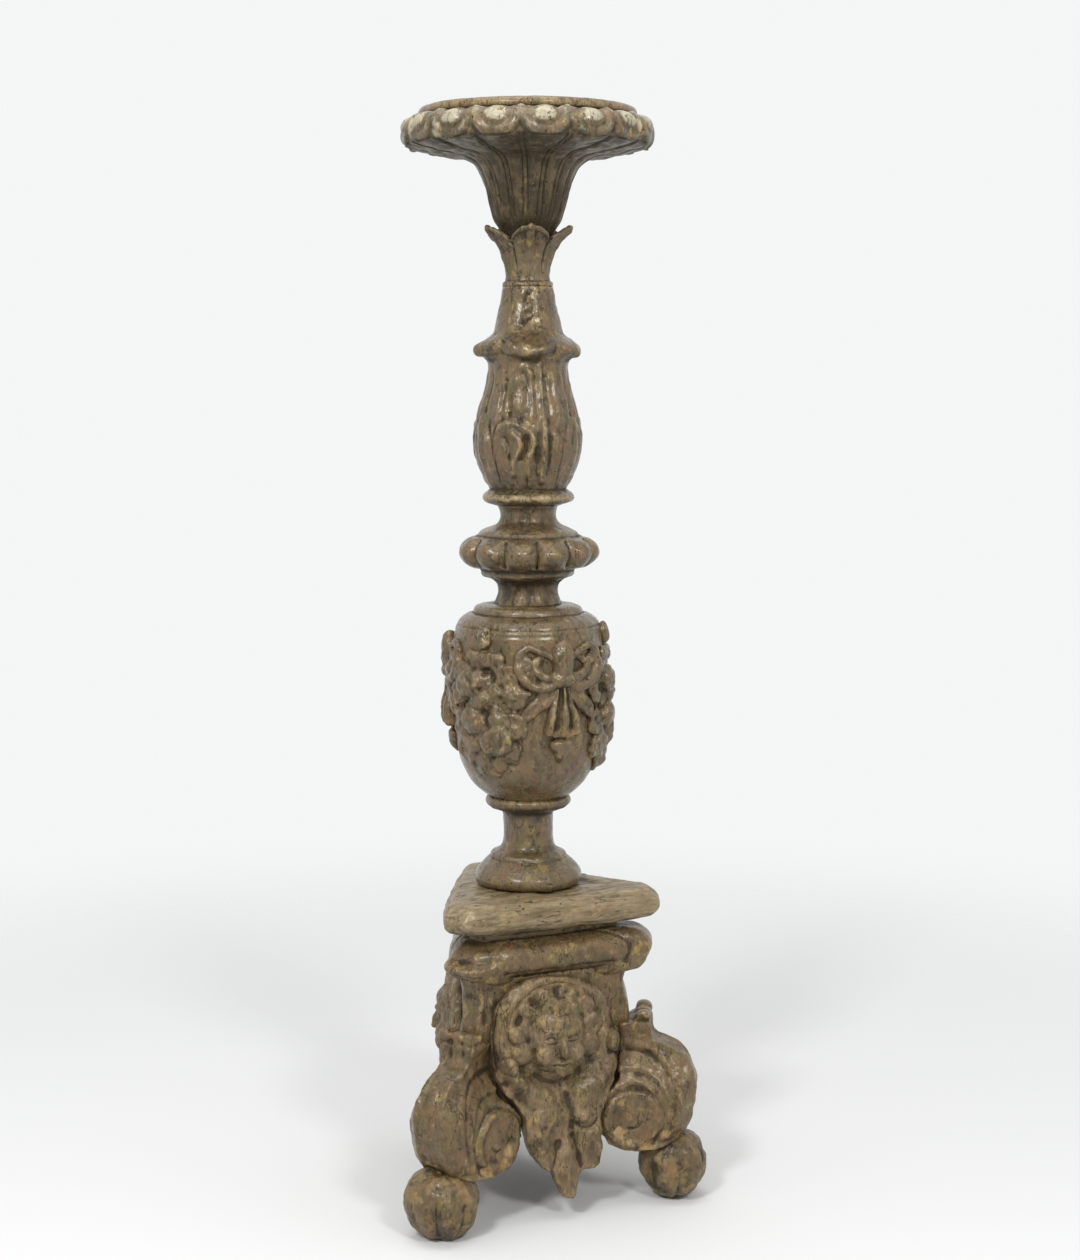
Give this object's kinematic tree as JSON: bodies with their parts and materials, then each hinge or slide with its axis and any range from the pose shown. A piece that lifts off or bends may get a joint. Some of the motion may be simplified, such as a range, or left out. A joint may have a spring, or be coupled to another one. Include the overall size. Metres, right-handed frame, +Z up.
{
  "type": "torchere candle stand",
  "caption": "Carved and gilded wooden torchere: a petalled pan with a candle socket on a turned baluster and urn stem, over a triangular base with cherub masks, scrolled legs and ball feet.",
  "frame": {"origin": "on the floor, in the middle of the box round the whole stand; the stem's axis stands 19 mm to -Y of it", "axes": "+Z up along the stem; -Y is the way that the first mask faces, and +Y the way of the rear leg"},
  "size_m": [0.2102, 0.1964, 0.7],
  "materials": {
    "gilded_pan": "aged gilding over wood with pale worn bosses, satin",
    "stem_wood": "aged gilding and paint worn to brown, satin",
    "urn_carving": "aged gilding on carved wood, satin",
    "base_wood": "aged gilding and paint worn to wood on the edges, satin",
    "mask_carving": "aged gilding on carved wood, satin",
    "leg_carving": "aged gilding on carved wood, worn, satin",
    "bare_wood": "bare turned wood, matt"
  },
  "bodies": {
    "root": {"candle_board": "gilded_pan", "petal_bowl": "gilded_pan", "leaf_collar": "stem_wood", "leafy_baluster": "stem_wood", "gadroon_knop": "stem_wood", "urn_body": "stem_wood", "column_foot": "stem_wood", "upper_peg": "bare_wood", "baluster_peg": "bare_wood", "knop_peg": "bare_wood", "urn_peg": "bare_wood", "plate_peg": "bare_wood", "top_plate": "base_wood", "cornice": "base_wood", "core_block": "base_wood", "swag_1": "urn_carving", "swag_2": "urn_carving", "swag_3": "urn_carving", "ribbon_bow_1": "urn_carving", "ribbon_bow_2": "urn_carving", "ribbon_bow_3": "urn_carving", "husk_drop_1": "urn_carving", "husk_drop_2": "urn_carving", "husk_drop_3": "urn_carving", "mask_board_1": "mask_carving", "mask_board_2": "mask_carving", "mask_board_3": "mask_carving", "cherub_head_1": "mask_carving", "cherub_head_2": "mask_carving", "cherub_head_3": "mask_carving", "scroll_leg_1": "leg_carving", "scroll_leg_2": "leg_carving", "scroll_leg_3": "leg_carving", "ball_foot_1": "leg_carving", "ball_foot_2": "leg_carving", "ball_foot_3": "leg_carving", "foot_peg_1": "bare_wood", "foot_peg_2": "bare_wood", "foot_peg_3": "bare_wood", "leg_peg_1": "bare_wood", "leg_peg_2": "bare_wood", "leg_peg_3": "bare_wood"}
  },
  "joints": []
}
